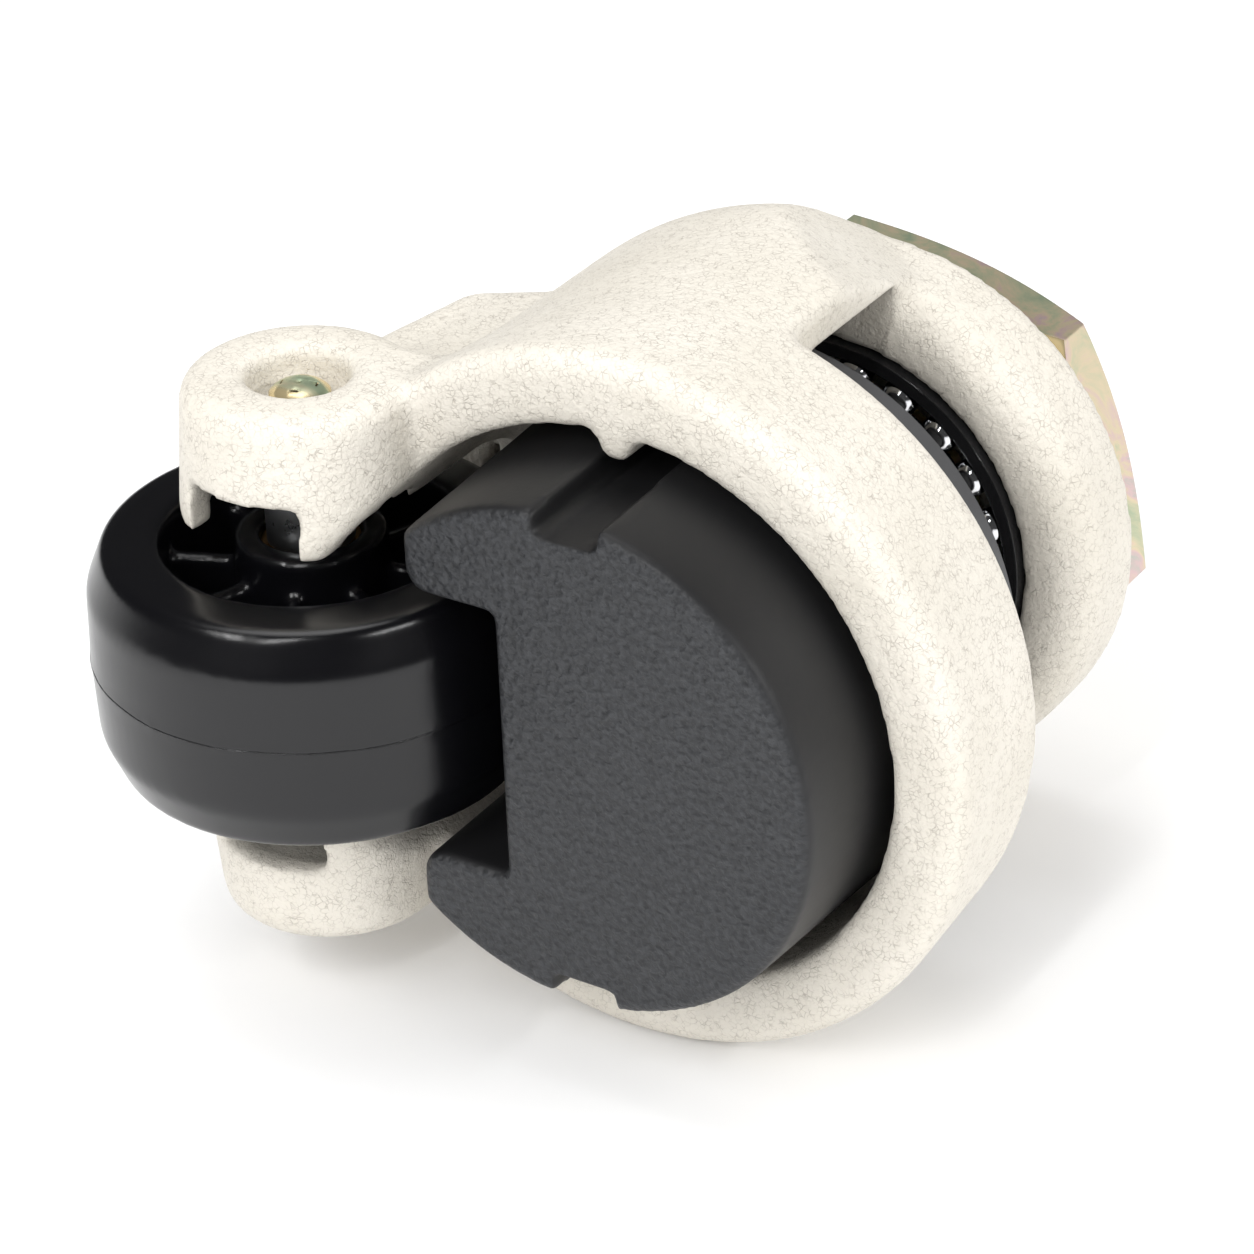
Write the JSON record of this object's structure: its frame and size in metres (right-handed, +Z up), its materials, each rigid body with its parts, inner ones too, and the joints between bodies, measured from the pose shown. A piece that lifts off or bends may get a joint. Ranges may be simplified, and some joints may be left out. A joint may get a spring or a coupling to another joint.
{
  "type": "levelling castor",
  "caption": "Levelling castor: cast swivel housing with a hard wheel and a screw-down foot pad set by a hidden thumbwheel, hung from a threaded hexagon head.",
  "frame": {"origin": "centre of the threaded hole's mouth, on the hexagon's top face", "axes": "+Z up the swivel axis out of the threaded hole, -X towards the wheel, wheel axle along Y"},
  "size_m": [0.1056, 0.084, 0.0979],
  "materials": {
    "ivory_paint": "fine crackle powder coat, low sheen",
    "black_nylon": "glossy hard nylon",
    "dark_rubber": "grained face, satin sides",
    "grey_moulding": "matte moulded",
    "yellow_zinc": "yellow chromated zinc plate",
    "zinc_steel": "bright zinc plate",
    "bearing_steel": "ground hardened steel",
    "ball_steel": "polished, lightly greased",
    "black_race": "blackened and oiled",
    "bush_bronze": "sintered, oiled"
  },
  "bodies": {
    "mount_head": {"hex_head": "yellow_zinc", "lower_cone": "bearing_steel", "tab_washer": "zinc_steel", "king_nut": "zinc_steel"},
    "fork": {"housing": "ivory_paint", "upper_race": "bearing_steel", "upper_balls": "ball_steel", "outer_race": "black_race", "lower_balls": "ball_steel", "axle": "zinc_steel", "axle_screw_front": "yellow_zinc", "axle_screw_rear": "yellow_zinc", "screw_washer_front": "zinc_steel", "screw_washer_rear": "zinc_steel", "axle_spacer_front": "zinc_steel", "axle_spacer_rear": "zinc_steel"},
    "wheel": {"wheel": "black_nylon", "hub_bush_front": "bush_bronze", "hub_bush_rear": "bush_bronze"},
    "adjuster": {"thumbwheel": "grey_moulding", "spindle": "zinc_steel", "spindle_dowel": "zinc_steel", "thrust_washer": "zinc_steel", "stop_ring": "zinc_steel"},
    "foot": {"foot_pad": "dark_rubber", "pad_nut": "zinc_steel"}
  },
  "joints": [
    {"name": "swivel", "type": "hinge", "parent": "mount_head", "child": "fork", "pos_m": [0, 0, 0], "axis": [0, 0, 1], "continuous": true},
    {"name": "wheel_spin", "type": "hinge", "parent": "fork", "child": "wheel", "pos_m": [-0.038, 0, -0.0724], "axis": [0, 1, 0], "continuous": true},
    {"name": "thumbwheel_turn", "type": "hinge", "parent": "fork", "child": "adjuster", "pos_m": [0, 0, -0.0414], "axis": [0, 0, 1], "range_deg": [0, 2160]},
    {"name": "foot_slide", "type": "slide", "parent": "fork", "child": "foot", "axis": [0, 0, -1], "range_m": [0, 0.018]}
  ],
  "couplings": [
    {"joint": "thumbwheel_turn", "follows": "foot_slide", "rad_per_m": 2094.4}
  ]
}
